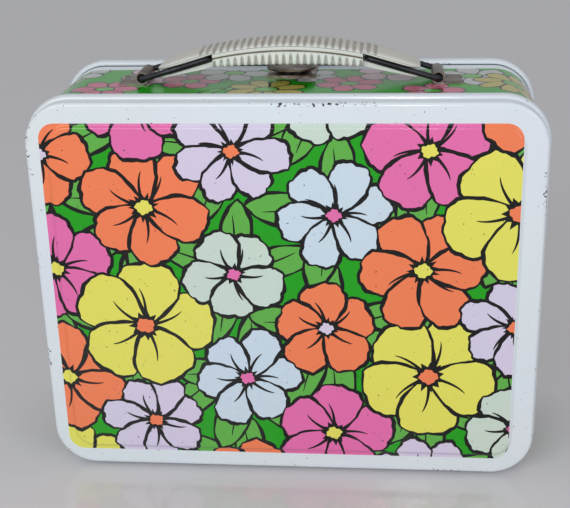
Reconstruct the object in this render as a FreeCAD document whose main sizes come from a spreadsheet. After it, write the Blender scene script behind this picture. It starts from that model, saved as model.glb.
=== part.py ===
"""Steel lunch box: two pressed pans, a side band, a seesaw latch, a lifting handle and a bottle bail.

The box stands on its beads. X runs along its width, +Y points from the fixed back pan to the hinged
lid, and +Z is up. The origin is at the middle of the base, where the beads touch the table.
"""
import math
import os

import FreeCAD
import Part
import Sketcher
from FreeCAD import Placement, Rotation, Vector

doc = FreeCAD.newDocument("LunchBox")

# ---------------------------------------------------------------- driving dimensions, millimetres
DIMENSIONS = {
    # pressed shell
    "panel_width": 222, "panel_height": 175, "shell_depth": 88, "corner_radius": 19,
    "sheet": 0.6, "fold_radius": 1.5, "skirt_depth": 7,
    "bead_width": 6, "bead_proud": 1.5, "bead_round": 1.4,
    "emboss_height": 1.0, "emboss_inset": 9, "emboss_bevel": 2,
    # side band and the lip that the lid closes over
    "band_step": 0.7, "band_tuck": 5, "seam_gap": 0.8,
    "lip_inset": 1.8, "lip_reach": 3, "lip_root": 2.2, "lip_lowest": 22,
    # hinges
    "hinge_spread": 62, "hinge_width": 16, "knuckle_width": 5, "knuckle_gap": 0.3,
    "knuckle_radius": 1.5, "hinge_lift": 1.6, "pin_radius": 0.75, "pin_clearance": 0.05,
    "leaf_sheet": 0.7, "leaf_overlap": 0.1, "leaf_length": 16, "lid_leaf_length": 11.5, "leaf_relief": 1.9,
    "notch_length": 4.2, "notch_height": 4.4, "rivet_spread": 4.5, "rivet_setback": 11,
    "lid_rivet_setback": 9, "rivet_radius": 1, "rivet_head_radius": 1.9, "rivet_head_height": 0.7,
    # latch
    "latch_width": 22, "latch_start": 6, "latch_sheet": 0.8, "latch_pivot_y": 18,
    "latch_pivot_rise": 1.9, "latch_pin_radius": 0.7, "ear_inner": 7.4, "ear_radius": 2.6,
    "ear_shoulder": 0.8, "latch_end_gap": 0.4, "latch_pin_stub": 0.5, "latch_rivet_near": 9.2,
    "latch_rivet_far": 26.2, "lever_half_width": 7, "lever_knuckle_radius": 1.5,
    "lever_bend_near": 5, "lever_bend_far": 9, "lever_bend_rise": 0.2, "hook_overlap": 0.5,
    "spring_half_width": 2.6, "spring_side_gap": 0.4,
    "spring_radius": 1.25, "spring_wire": 0.34, "spring_window": 2.6, "spring_turns": 6,
    "spring_leg": 5, "tab_reach": 20, "tab_rise": 0.9, "hook_reach": 20.2,
    # handle
    "bracket_x": 65.8, "bracket_width": 16, "bracket_length": 10.7, "bracket_sheet": 0.7,
    "loop_radius": 2.9, "wire_radius": 1.3, "wire_half_span": 10, "wire_length": 32,
    "wire_rest_angle": 16.5, "wire_end": 5, "wire_bend": 2,
    # grip: heights are above the panel's top edge
    "grip_half_length": 58, "grip_half_width": 11.5, "grip_rise": 19.1, "grip_end_rise": 8.2,
    "seam_drop": 4.4, "middle_half_length": 32, "lower_inset": 0.5, "shell_clearance": 0.2,
    "slot_roof": 1.7, "slot_floor": 2, "slot_spare": 2.4, "slot_end_wall": 3.6,
    "lower_rise": 8.6, "lower_end_rise": 7.5, "tongue_root": 37, "tongue_root_rise": 6.6,
    "tongue_rise": 2.4, "tongue_half_width": 8, "tongue_half_length": 57, "tongue_overlap": 4,
    # bottle bail
    "bail_clip_x": 62, "bail_y": -36, "bail_half_width": 54, "bail_length": 76,
    "bail_wire": 1.2, "bail_bend": 3, "clip_width": 8, "clip_radius": 2.0, "clip_sheet": 0.6,
    "clip_length": 8, "bail_stub": 6,
}

sizes = doc.addObject("Spreadsheet::Sheet", "Sizes")
for row, (alias, value) in enumerate(DIMENSIONS.items(), start=1):
    sizes.set(f"A{row}", alias)
    sizes.set(f"B{row}", str(value))
    sizes.setAlias(f"B{row}", alias)
doc.recompute()


def size(alias):
    """A driving dimension as the sheet holds it."""
    return float(sizes.get(alias))


parts = []


def sub_part(kind, label):
    """A document object that is one piece of the box and is exported under its label."""
    piece = doc.addObject(kind, label)
    piece.Label = label
    parts.append(piece)
    return piece


# ---------------------------------------------------------------- sketch helpers
def sketch_on(body, name, role, offset):
    """An empty sketch on one of the body's origin planes, moved by three expressions."""
    sketch = body.newObject("Sketcher::SketchObject", name)
    plane = next(item for item in body.Origin.OriginFeatures if item.Role == role)
    sketch.AttachmentSupport = (plane, [""])
    sketch.MapMode = "FlatFace"
    for axis, expression in zip("xyz", offset):
        sketch.setExpression(f"AttachmentOffset.Base.{axis}", expression)
    return sketch


def rounded_outline(body, name, y, inset):
    """The box outline seen from the front, drawn `inset` inside the panel edge, at depth `y`."""
    middle = "Sizes.bead_proud + Sizes.panel_height / 2"
    sketch = sketch_on(body, name, "XZ_Plane", ("0", middle, f"-({y})"))
    half_w, half_h, corner = size("panel_width") / 2, size("panel_height") / 2, size("corner_radius")
    line = Part.LineSegment
    sketch.addGeometry([
        line(Vector(corner - half_w, half_h, 0), Vector(half_w - corner, half_h, 0)),
        line(Vector(half_w, half_h - corner, 0), Vector(half_w, corner - half_h, 0)),
        line(Vector(half_w - corner, -half_h, 0), Vector(corner - half_w, -half_h, 0)),
        line(Vector(-half_w, corner - half_h, 0), Vector(-half_w, half_h - corner, 0)),
    ], False)
    for turn in range(4):
        side_x, side_y = ((1, 1), (1, -1), (-1, -1), (-1, 1))[turn]
        centre = Vector(side_x * (half_w - corner), side_y * (half_h - corner), 0)
        start = math.radians((0, -90, 180, 90)[turn])
        circle = Part.Circle(centre, Vector(0, 0, 1), corner)
        sketch.addGeometry(Part.ArcOfCircle(circle, start, start + math.pi / 2), False)
    rules = []
    for turn in range(4):
        rules.append(Sketcher.Constraint("Tangent", turn, 2, 4 + turn, 2))
        rules.append(Sketcher.Constraint("Tangent", 4 + turn, 1, (turn + 1) % 4, 1))
        rules.append(Sketcher.Constraint("Horizontal" if turn % 2 == 0 else "Vertical", turn))
    for arc in (5, 6, 7):
        rules.append(Sketcher.Constraint("Equal", 4, arc))
    rules.append(Sketcher.Constraint("Symmetric", 4, 3, 6, 3, -1, 1))
    sketch.addConstraint(rules)
    width = sketch.addConstraint(Sketcher.Constraint("DistanceX", 3, 1, 1, 1, 2 * half_w))
    height = sketch.addConstraint(Sketcher.Constraint("DistanceY", 2, 1, 0, 1, 2 * half_h))
    radius = sketch.addConstraint(Sketcher.Constraint("Radius", 4, corner))
    sketch.setExpression(f"Constraints[{width}]", f"Sizes.panel_width - 2 * ({inset})")
    sketch.setExpression(f"Constraints[{height}]", f"Sizes.panel_height - 2 * ({inset})")
    sketch.setExpression(f"Constraints[{radius}]", f"max(Sizes.corner_radius - ({inset}); 4)")
    return sketch


def rectangle(body, name, role, offset, width, height):
    """A rectangle centred on the sketch's origin."""
    sketch = sketch_on(body, name, role, offset)
    corners = [Vector(-1, -1, 0), Vector(1, -1, 0), Vector(1, 1, 0), Vector(-1, 1, 0)]
    for start in range(4):
        sketch.addGeometry(Part.LineSegment(corners[start], corners[(start + 1) % 4]), False)
    rules = []
    for start in range(4):
        rules.append(Sketcher.Constraint("Coincident", start, 2, (start + 1) % 4, 1))
        rules.append(Sketcher.Constraint("Horizontal" if start % 2 == 0 else "Vertical", start))
    rules.append(Sketcher.Constraint("Symmetric", 0, 1, 2, 1, -1, 1))
    sketch.addConstraint(rules)
    across = sketch.addConstraint(Sketcher.Constraint("DistanceX", 0, 1, 0, 2, 2))
    along = sketch.addConstraint(Sketcher.Constraint("DistanceY", 1, 1, 1, 2, 2))
    sketch.setExpression(f"Constraints[{across}]", width)
    sketch.setExpression(f"Constraints[{along}]", height)
    return sketch


def join_ends(sketch, first, second, at):
    """Ties the ends of two edges that meet at a point, whichever way round each edge is held."""
    ends = [min((1, 2), key=lambda end: (sketch.getPoint(edge, end) - at).Length)
            for edge in (first, second)]
    sketch.addConstraint(Sketcher.Constraint("Coincident", first, ends[0], second, ends[1]))


def pad(body, name, sketch, length, reverse=False, middle=False):
    """A pad of the sketch; it grows along the sketch's normal unless it is reversed."""
    feature = body.newObject("PartDesign::Pad", name)
    feature.Profile = sketch
    feature.setExpression("Length", length)
    feature.Reversed = reverse
    feature.Midplane = middle
    return feature


def pocket(body, name, sketch, length, along_normal):
    """A pocket of the sketch, checked for the material that it takes away."""
    doc.recompute()
    before = body.Shape.Volume
    feature = body.newObject("PartDesign::Pocket", name)
    feature.Profile = sketch
    feature.setExpression("Length", length)
    feature.Reversed = along_normal
    doc.recompute()
    if body.Shape.Volume > before - 1e-3:
        raise RuntimeError(f"{name} takes nothing off {body.Label}")
    return feature


def loft(body, name, kind, first, last):
    """A ruled loft between two sketches."""
    feature = body.newObject(f"PartDesign::{kind}Loft", name)
    feature.Profile = first
    feature.Sections = [last]
    feature.Ruled = True
    return feature


def round_edges(body, name, base, radius, wanted):
    """A fillet of the base feature's edges whose middle point passes the test."""
    doc.recompute()
    names = []
    for index, edge in enumerate(base.Shape.Edges, start=1):
        if wanted(edge.valueAt((edge.FirstParameter + edge.LastParameter) / 2)):
            names.append(f"Edge{index}")
    feature = body.newObject("PartDesign::Fillet", name)
    feature.Base = (base, names)
    feature.setExpression("Radius", radius)
    return feature


# ---------------------------------------------------------------- pans: back pan and lid
RIM_Y = "(Sizes.shell_depth / 2 - Sizes.skirt_depth - Sizes.bead_width)"
FACE_Y = "(Sizes.shell_depth / 2)"


def make_pan(label, side):
    """A pressed pan: embossed face, folded skirt and a rolled bead at the rim. `side` is -1 or 1."""
    pan = sub_part("PartDesign::Body", label)
    outward = side > 0
    rim, face = f"{side} * {RIM_Y}", f"{side} * {FACE_Y}"
    pan_depth = "Sizes.skirt_depth + Sizes.bead_width"

    tray_outline = rounded_outline(pan, label + "_outline", rim, "0")
    tray = pad(pan, label + "_tray", tray_outline, pan_depth, outward)
    face_y = side * size("shell_depth") / 2
    round_edges(pan, label + "_fold", tray, "Sizes.fold_radius", lambda at: abs(at.y - face_y) < 0.01)

    foot = rounded_outline(pan, label + "_emboss_foot", f"{side} * ({FACE_Y} - Sizes.sheet / 2)",
                           "Sizes.emboss_inset")
    crown = rounded_outline(pan, label + "_emboss_crown", f"{side} * ({FACE_Y} + Sizes.emboss_height)",
                            "Sizes.emboss_inset + Sizes.emboss_bevel")
    loft(pan, label + "_emboss", "Additive", foot, crown)

    bead_outline = rounded_outline(pan, label + "_bead_outline", rim, "-Sizes.bead_proud")
    bead = pad(pan, label + "_bead", bead_outline, "Sizes.bead_width", outward)
    rim_y = side * (size("shell_depth") / 2 - size("skirt_depth") - size("bead_width"))
    bead_end_y = rim_y + side * size("bead_width")
    proud = size("panel_width") / 2 + size("bead_proud")
    top = size("panel_height") + 2 * size("bead_proud")

    def on_bead(at):
        outer = abs(at.x) > proud - 6 or at.z > top - 6 or at.z < 6
        ends = abs(at.y - rim_y) < 0.01 or abs(at.y - bead_end_y) < 0.01
        reach = max(abs(at.x) - proud, at.z - top, -at.z)
        corner = abs(at.x) > proud - 7 and (at.z > top - 7 or at.z < 7)
        return outer and ends and (abs(reach) < 0.01 or (corner and beyond_skirt(at)))

    def beyond_skirt(at):
        corner = size("corner_radius")
        cx = size("panel_width") / 2 - corner
        cz = size("panel_height") / 2 - corner
        dz = abs(at.z - size("bead_proud") - size("panel_height") / 2) - cz
        return math.hypot(abs(at.x) - cx, dz) > corner + size("bead_proud") / 2

    round_edges(pan, label + "_bead_round", bead, "Sizes.bead_round", on_bead)

    hollow = rounded_outline(pan, label + "_hollow_outline", rim, "Sizes.sheet")
    pocket(pan, label + "_hollow", hollow, f"{pan_depth} - Sizes.sheet", not outward)
    inner_foot = rounded_outline(pan, label + "_inner_foot", f"{side} * ({FACE_Y} - Sizes.sheet)",
                                 "Sizes.emboss_inset + Sizes.sheet / 3")
    inner_crown = rounded_outline(
        pan, label + "_inner_crown", f"{side} * ({FACE_Y} + Sizes.emboss_height - Sizes.sheet)",
        "Sizes.emboss_inset + Sizes.emboss_bevel + Sizes.sheet / 3")
    loft(pan, label + "_inner_emboss", "Subtractive", inner_foot, inner_crown)
    return pan


make_pan("back_pan", -1)
lid = make_pan("lid_pan", 1)

RELIEF = "(Sizes.hinge_width + 2 * Sizes.knuckle_gap)"
HINGE_Y = f"({RIM_Y} - Sizes.seam_gap / 2)"
for name, side in (("left", -1), ("right", 1)):
    notch = rectangle(lid, f"lid_hinge_notch_{name}_outline", "XY_Plane",
                      (f"{side} * Sizes.hinge_spread", HINGE_Y, "-1"),
                      RELIEF, "2 * Sizes.leaf_relief")
    pocket(lid, f"lid_hinge_notch_{name}", notch, "1 + Sizes.bead_proud + 2 * Sizes.sheet", True)

# ---------------------------------------------------------------- side band
band = sub_part("PartDesign::Body", "side_band")
BAND_START = f"(-({RIM_Y}) - Sizes.band_tuck)"
BAND_END = f"({RIM_Y} - Sizes.seam_gap)"
BAND_LENGTH = f"({BAND_END} - ({BAND_START}))"
LIP_START = f"({BAND_END} - Sizes.lip_root)"

outer = rounded_outline(band, "band_outline", BAND_START, "Sizes.band_step")
pad(band, "band_wall", outer, BAND_LENGTH, True)
lip = rounded_outline(band, "lip_outline", LIP_START, "Sizes.lip_inset")
pad(band, "lip_wall", lip, "Sizes.lip_root + Sizes.lip_reach", True)
inner = rounded_outline(band, "band_hollow_outline", BAND_START, "Sizes.band_step + Sizes.sheet")
pocket(band, "band_hollow", inner, f"{BAND_LENGTH} - Sizes.lip_root", False)
mouth = rounded_outline(band, "mouth_outline", BAND_START, "Sizes.lip_inset + Sizes.sheet")
pocket(band, "mouth", mouth, f"{BAND_LENGTH} + Sizes.lip_reach + 1", False)
# the lip stops short of the hinge side, where the lid's floor swings away
lip_end = rectangle(band, "lip_end_outline", "XY_Plane",
                    ("0", f"{BAND_END} + Sizes.lip_reach / 2 + 0.5", "-1"),
                    "Sizes.panel_width", "Sizes.lip_reach + 1")
pocket(band, "lip_end", lip_end, "1 + Sizes.lip_lowest", True)
for name, side in (("left", -1), ("right", 1)):
    notch = rectangle(band, f"band_hinge_notch_{name}_outline", "XY_Plane",
                      (f"{side} * Sizes.hinge_spread",
                       f"{LIP_START} - Sizes.leaf_overlap + Sizes.notch_length / 2", "-1"),
                      RELIEF, "Sizes.notch_length")
    pocket(band, f"band_hinge_notch_{name}", notch, "1 + Sizes.notch_height", True)

# ---------------------------------------------------------------- boolean helpers for small metalwork
def bound(kind, name, at, turn=None, **expressions):
    """A Part primitive whose sizes and place are bound to the sheet."""
    item = doc.addObject(kind, name)
    for key, expression in expressions.items():
        item.setExpression(key, expression)
    if turn:
        item.Placement = Placement(Vector(), turn)
    for axis, expression in zip("xyz", at):
        item.setExpression(f"Placement.Base.{axis}", expression)
    return item


ALONG_X = Rotation(Vector(0, 1, 0), 90)
ALONG_Y = Rotation(Vector(1, 0, 0), -90)


def fused(name, items):
    """One solid made from overlapping primitives."""
    joined = doc.addObject("Part::MultiFuse", name)
    joined.Shapes = items
    return joined


def bored(label, solid, bore):
    """The finished piece: a solid with its bore cut out."""
    piece = sub_part("Part::Cut", label)
    piece.Base = solid
    piece.Tool = bore
    return piece


# ---------------------------------------------------------------- hinges
HINGE_Z = "Sizes.hinge_lift"
HALF_HINGE = "(Sizes.hinge_width / 2)"
SIDE_KNUCKLE = "(Sizes.hinge_width / 2 - Sizes.knuckle_width / 2 - Sizes.knuckle_gap)"


def make_hinge(name, side):
    """A three-knuckle hinge: the middle knuckle is the band's, the outer two are the lid's."""
    centre = f"{side} * Sizes.hinge_spread"
    band_floor = "(Sizes.bead_proud + Sizes.band_step + Sizes.sheet)"
    lid_floor = "(Sizes.bead_proud + Sizes.sheet)"
    bore = bound("Part::Cylinder", f"hinge_bore_{name}", (f"{centre} - Sizes.hinge_width", HINGE_Y, HINGE_Z),
                 ALONG_X, Radius="Sizes.pin_radius + Sizes.pin_clearance", Height="2 * Sizes.hinge_width")

    body_items = [
        bound("Part::Box", f"body_plate_{name}",
              (f"{centre} - {HALF_HINGE}", f"{HINGE_Y} - Sizes.leaf_length", band_floor),
              Length="Sizes.hinge_width", Width="Sizes.leaf_length - Sizes.leaf_relief",
              Height="Sizes.leaf_sheet"),
        bound("Part::Box", f"body_finger_{name}",
              (f"{centre} - Sizes.knuckle_width / 2",
               f"{HINGE_Y} - Sizes.leaf_relief - Sizes.leaf_overlap", band_floor),
              Length="Sizes.knuckle_width", Width="Sizes.leaf_relief + Sizes.leaf_overlap",
              Height="Sizes.leaf_sheet"),
        bound("Part::Cylinder", f"body_knuckle_{name}",
              (f"{centre} - Sizes.knuckle_width / 2", HINGE_Y, HINGE_Z), ALONG_X,
              Radius="Sizes.knuckle_radius", Height="Sizes.knuckle_width"),
    ]
    bored(f"hinge_leaf_body_{name}", fused(f"body_leaf_solid_{name}", body_items), bore)

    lid_items = [bound("Part::Box", f"lid_plate_{name}",
                       (f"{centre} - {HALF_HINGE}", f"{HINGE_Y} + Sizes.leaf_relief", lid_floor),
                       Length="Sizes.hinge_width", Width="Sizes.lid_leaf_length - Sizes.leaf_relief",
                       Height="Sizes.leaf_sheet")]
    for end, start in (("low", f"{centre} - {HALF_HINGE}"),
                       ("high", f"{centre} + {HALF_HINGE} - {SIDE_KNUCKLE}")):
        lid_items.append(bound("Part::Box", f"lid_finger_{end}_{name}", (start, HINGE_Y, lid_floor),
                               Length=SIDE_KNUCKLE, Width="Sizes.leaf_relief + Sizes.leaf_overlap",
                               Height="Sizes.leaf_sheet"))
        lid_items.append(bound("Part::Cylinder", f"lid_knuckle_{end}_{name}", (start, HINGE_Y, HINGE_Z),
                               ALONG_X, Radius="Sizes.knuckle_radius", Height=SIDE_KNUCKLE))
    bored(f"hinge_leaf_lid_{name}", fused(f"lid_leaf_solid_{name}", lid_items), bore)

    pin = sub_part("Part::Cylinder", f"hinge_pin_{name}")
    pin.setExpression("Radius", "Sizes.pin_radius")
    pin.setExpression("Height", "Sizes.hinge_width")
    pin.Placement = Placement(Vector(), ALONG_X)
    for axis, expression in zip("xyz", (f"{centre} - {HALF_HINGE}", HINGE_Y, HINGE_Z)):
        pin.setExpression(f"Placement.Base.{axis}", expression)


for name, side in (("left", -1), ("right", 1)):
    make_hinge(name, side)


# ---------------------------------------------------------------- rivets
def rivet(at, grip):
    """A rivet standing along Z: a shank of length `grip` from `at` upwards, with a domed head each end."""
    head_radius, head_height = size("rivet_head_radius"), size("rivet_head_height")
    ball = (head_radius ** 2 + head_height ** 2) / (2 * head_height)
    solid = Part.makeCylinder(size("rivet_radius"), grip, at)
    for end, up in ((at, -1), (at + Vector(0, 0, grip), 1)):
        middle = end - Vector(0, 0, up * (ball - head_height))
        dome = Part.makeSphere(ball, middle)
        keep = Part.makeCylinder(head_radius + 0.5, head_height + 0.1, end, Vector(0, 0, up))
        solid = solid.fuse(dome.common(keep))
    return solid.removeSplitter()


def rivet_row(label, places, grip):
    """A set of like rivets, each a solid of its own."""
    row = sub_part("Part::Feature", label)
    row.Shape = Part.Compound([rivet(Vector(*place), grip) for place in places])


rim_y = size("shell_depth") / 2 - size("skirt_depth") - size("bead_width")
panel_low, panel_top = size("bead_proud"), size("bead_proud") + size("panel_height")
rivet_x = [side * size("hinge_spread") + offset for side in (-1, 1)
           for offset in (-size("rivet_spread"), size("rivet_spread"))]
leaf_grip = size("sheet") + size("leaf_sheet")
body_rivet_y, lid_rivet_y = rim_y - size("rivet_setback"), rim_y + size("lid_rivet_setback")
rivet_row("hinge_rivets_body", [(x, body_rivet_y, panel_low + size("band_step")) for x in rivet_x],
          leaf_grip)
rivet_row("hinge_rivets_lid", [(x, lid_rivet_y, panel_low) for x in rivet_x], leaf_grip)

# ---------------------------------------------------------------- latch
BAND_TOP = "(Sizes.bead_proud + Sizes.panel_height - Sizes.band_step)"
LATCH_FLOOR = f"({BAND_TOP} + Sizes.latch_sheet)"
PIVOT_Z = f"({LATCH_FLOOR} + Sizes.latch_pivot_rise)"
band_top = panel_top - size("band_step")
latch_floor = band_top + size("latch_sheet")
pivot_y, pivot_z = size("latch_pivot_y"), latch_floor + size("latch_pivot_rise")

latch_bore = bound("Part::Cylinder", "latch_bore",
                   ("-2 * Sizes.latch_width", "Sizes.latch_pivot_y", PIVOT_Z), ALONG_X, Radius="Sizes.latch_pin_radius + Sizes.pin_clearance",
                   Height="4 * Sizes.latch_width")
base_items = [bound("Part::Box", "latch_plate", ("-Sizes.latch_width / 2", "Sizes.latch_start", BAND_TOP),
                    Length="Sizes.latch_width", Height="Sizes.latch_sheet",
                    Width=f"{BAND_END} - Sizes.latch_start - Sizes.latch_end_gap")]
for name, start in (("left", "-Sizes.ear_inner - Sizes.latch_sheet"), ("right", "Sizes.ear_inner")):
    base_items.append(bound("Part::Cylinder", f"ear_crown_{name}", (start, "Sizes.latch_pivot_y", PIVOT_Z),
                            ALONG_X, Radius="Sizes.ear_radius - Sizes.ear_shoulder",
                            Height="Sizes.latch_sheet"))
    base_items.append(bound("Part::Box", f"ear_{name}",
                            (start, "Sizes.latch_pivot_y - Sizes.ear_radius", BAND_TOP),
                            Length="Sizes.latch_sheet", Width="2 * Sizes.ear_radius",
                            Height="Sizes.latch_sheet + Sizes.latch_pivot_rise"))
bored("latch_base", fused("latch_base_solid", base_items), latch_bore)

lever_top = pivot_z + size("lever_knuckle_radius")
lever_low = lever_top - size("latch_sheet")


def outline_face(points):
    """A flat face in the YZ plane from its (y, z) corners."""
    corners = [Vector(0, y, z) for y, z in points]
    return Part.Face(Part.makePolygon(corners + corners[:1]))


def lever_shape():
    """The pressed lever: a hook over the lid's bead, a flat back and a round thumb tab that rises."""
    half, sheet = size("lever_half_width"), size("latch_sheet")
    tip = pivot_y + size("hook_reach")
    rise, hook_low = size("tab_rise"), panel_top + size("hook_overlap")
    near, far, start = size("lever_bend_near"), size("lever_bend_far"), size("lever_bend_rise")
    back = outline_face([
        (pivot_y - far, lever_low + start), (pivot_y - near, lever_low), (tip - sheet, lever_low),
        (tip - sheet, hook_low), (tip, hook_low), (tip, lever_top),
        (pivot_y - near, lever_top), (pivot_y - far, lever_top + start),
    ]).extrude(Vector(2 * half, 0, 0)).translated(Vector(-half, 0, 0))
    tab_profile = outline_face([
        (pivot_y - near, lever_low), (pivot_y - near, lever_top),
        (pivot_y - size("tab_reach"), lever_top + rise), (pivot_y - size("tab_reach"), lever_low + rise),
    ]).extrude(Vector(2 * size("latch_width"), 0, 0)).translated(Vector(-size("latch_width"), 0, 0))
    round_tab = size("latch_width") / 2
    disc_y = pivot_y - size("tab_reach") + round_tab
    disc = Part.makeCylinder(round_tab, 10, Vector(0, disc_y, lever_low - 2))
    lever = back.fuse(tab_profile.common(disc))
    window_half = size("spring_half_width") + size("spring_side_gap")
    for left in (-half, window_half):
        lever = lever.fuse(Part.makeCylinder(size("lever_knuckle_radius"), half - window_half,
                                             Vector(left, pivot_y, pivot_z), Vector(1, 0, 0)))
    bore = Part.makeCylinder(size("latch_pin_radius") + size("pin_clearance"), 4 * half,
                             Vector(-2 * half, pivot_y, pivot_z), Vector(1, 0, 0))
    reach = size("spring_window")
    window = Part.makeBox(2 * window_half, 2 * reach, 2 * reach,
                          Vector(-window_half, pivot_y - reach, pivot_z - reach))
    return lever.cut(bore).cut(window).removeSplitter()


lever = sub_part("Part::Feature", "latch_lever")
lever.Shape = lever_shape()

latch_pin = sub_part("Part::Cylinder", "latch_pin")
latch_pin.setExpression("Radius", "Sizes.latch_pin_radius")
latch_pin.setExpression("Height", "2 * (Sizes.ear_inner + Sizes.latch_sheet + Sizes.latch_pin_stub)")
latch_pin.Placement = Placement(Vector(), ALONG_X)
for axis, expression in zip("xyz", ("-Sizes.ear_inner - Sizes.latch_sheet - Sizes.latch_pin_stub",
                                    "Sizes.latch_pivot_y", PIVOT_Z)):
    latch_pin.setExpression(f"Placement.Base.{axis}", expression)


def spring_shape():
    """A torsion spring on the pin, with one leg over the base and one under the thumb tab."""
    radius, wire, turns = size("spring_radius"), size("spring_wire"), size("spring_turns")
    width = 2 * (size("spring_half_width") - wire)
    coil = Part.Wire(Part.makeHelix(width / turns, width, radius).Edges)
    rise = Vector(0, 1, width / turns / (2 * math.pi * radius)).normalize()
    start, end = Vector(radius, 0, 0), Vector(radius, 0, width)
    section = Part.Wire(Part.Circle(start, rise, wire).toShape())
    spring = coil.makePipeShell([section], True, True)
    for foot, way in ((start, -rise), (end, rise)):
        spring = spring.fuse(Part.makeCylinder(wire, size("spring_leg"), foot, way))
    spring.Placement = Placement(Vector(-width / 2, pivot_y, pivot_z), Rotation(Vector(0, 1, 0), 90))
    return spring


spring = sub_part("Part::Feature", "latch_spring")
spring.Shape = spring_shape()
rivet_row("latch_rivets", [(0, y, band_top - size("sheet")) 
                             for y in (size("latch_rivet_near"), size("latch_rivet_far"))],
          size("sheet") + size("latch_sheet"))


# ---------------------------------------------------------------- handle brackets and bail clips
def make_strap(label, centre, width, radius, plate, length, direction, up):
    """A strap rolled into a loop, with a plate that lies on the wall. `direction` leads to the plate's
    free end along X or Y, and `up` is 1 when the wall is below the loop, -1 when it is above."""
    along_y = abs(direction.x) > 0
    turn = ALONG_Y if along_y else ALONG_X
    start = [centre[0], centre[1], centre[2]]
    across = 1 if along_y else 0
    start[across] = f"{centre[across]} - ({width}) / 2"
    roll = bound("Part::Cylinder", label + "_roll", start, turn, Radius=radius, Height=width)
    bore = bound("Part::Cylinder", label + "_bore", start, turn, Radius=f"{radius} - {plate}", Height=width)
    foot = list(start)
    step = 0 if along_y else 1
    sign = direction.x + direction.y
    foot[step] = centre[step] if sign > 0 else f"{centre[step]} - {length}"
    foot[2] = f"{centre[2]} - {radius}" if up > 0 else f"{centre[2]} + {radius} - {plate}"
    spans = (length, width) if along_y else (width, length)
    sole = bound("Part::Box", label + "_sole", foot, Length=spans[0], Width=spans[1], Height=plate)
    bored(label, fused(label + "_solid", [roll, sole]), bore)


WIRE_Z = f"({BAND_TOP} + Sizes.loop_radius)"
for name, side in (("left", -1), ("right", 1)):
    make_strap(f"handle_bracket_{name}", (f"{side} * Sizes.bracket_x", "0", WIRE_Z),
               "Sizes.bracket_width", "Sizes.loop_radius", "Sizes.bracket_sheet",
               "Sizes.bracket_length", Vector(side, 0, 0), 1)

BAIL_Z = f"({BAND_TOP} - Sizes.sheet - Sizes.clip_radius)"
for name, side in (("left", -1), ("right", 1)):
    make_strap(f"bail_clip_{name}", (f"{side} * Sizes.bail_clip_x", "Sizes.bail_y", BAIL_Z),
               "Sizes.clip_width", "Sizes.clip_radius", "Sizes.clip_sheet",
               "Sizes.clip_length", Vector(0, 1, 0), -1)


# ---------------------------------------------------------------- bent wires
def rounded_path(sketch, points, bend):
    """Straight runs through the points, with a tangent arc of radius `bend` at each corner."""
    joints, start = [], points[0]
    for here, after in zip(points[1:-1], points[2:]):
        into, out = (here - start).normalize(), (after - here).normalize()
        half_turn = into.getAngle(out) / 2
        begin, end = here - into * (bend * math.tan(half_turn)), here + out * (bend * math.tan(half_turn))
        middle = (out - into).normalize()
        crest = here + middle * (bend / math.cos(half_turn) - bend)
        sketch.addGeometry(Part.LineSegment(start, begin), False)
        sketch.addGeometry(Part.Arc(begin, crest, end), False)
        joints += [begin, end]
        start = end
    sketch.addGeometry(Part.LineSegment(start, points[-1]), False)
    for index, joint in enumerate(joints):
        join_ends(sketch, index, index + 1, joint)


def bent_wire(label, path_role, profile_role, points, bend, radius, profile_offset):
    """A round wire bent along a flat path, made as a pipe."""
    body = sub_part("PartDesign::Body", label)
    path = sketch_on(body, label + "_path", path_role, ("0", "0", "0"))
    rounded_path(path, points, bend)
    section = sketch_on(body, label + "_section", profile_role, profile_offset)
    section.addGeometry(Part.Circle(Vector(0, 0, 0), Vector(0, 0, 1), 1), False)
    section.addConstraint(Sketcher.Constraint("Coincident", 0, 3, -1, 1))
    ruled = section.addConstraint(Sketcher.Constraint("Radius", 0, 1))
    section.setExpression(f"Constraints[{ruled}]", radius)
    pipe = body.newObject("PartDesign::AdditivePipe", label + "_pipe")
    pipe.Profile = section
    pipe.Spine = (path, [])
    return body


wire_length, half_span = size("wire_length"), size("wire_half_span")
for name, side in (("left", -1), ("right", 1)):
    reach = -side * wire_length
    points = [Vector(reach, -size("wire_end"), 0), Vector(reach, -half_span, 0), Vector(0, -half_span, 0),
              Vector(0, half_span, 0), Vector(reach, half_span, 0), Vector(reach, size("wire_end"), 0)]
    # the path starts at one end inside the grip's slot and ends at the other
    wire = bent_wire(f"handle_wire_{name}", "XY_Plane", "XZ_Plane", points, size("wire_bend"),
                     "Sizes.wire_radius", (f"{-side} * Sizes.wire_length", "0", "Sizes.wire_end"))
    wire.Placement = Placement(
        Vector(side * size("bracket_x"), 0, band_top + size("loop_radius")),
        Rotation(Vector(0, side, 0), size("wire_rest_angle")))

half_bail, drop, stub = size("bail_half_width"), size("bail_length"), size("bail_clip_x") + size("bail_stub")
points = [Vector(-stub, 0, 0), Vector(-half_bail, 0, 0), Vector(-half_bail, -drop, 0),
          Vector(half_bail, -drop, 0), Vector(half_bail, 0, 0), Vector(stub, 0, 0)]
bail = bent_wire("bottle_bail", "XZ_Plane", "YZ_Plane", points, size("bail_bend"),
                 "Sizes.bail_wire", ("0", "0", "-Sizes.bail_clip_x - Sizes.bail_stub"))
bail_z = band_top - size("sheet") - size("clip_radius")
bail.Placement = Placement(Vector(0, size("bail_y"), bail_z), Rotation())


# ---------------------------------------------------------------- grip
def arch(half, rise):
    """Height, a distance `half` from the middle, of an arc that follows the grip's crown."""
    fall = size("grip_rise") - size("grip_end_rise")
    radius = (size("grip_half_length") ** 2 + fall ** 2) / (2 * fall)
    return rise - (radius - math.sqrt(radius ** 2 - half ** 2))


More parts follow.
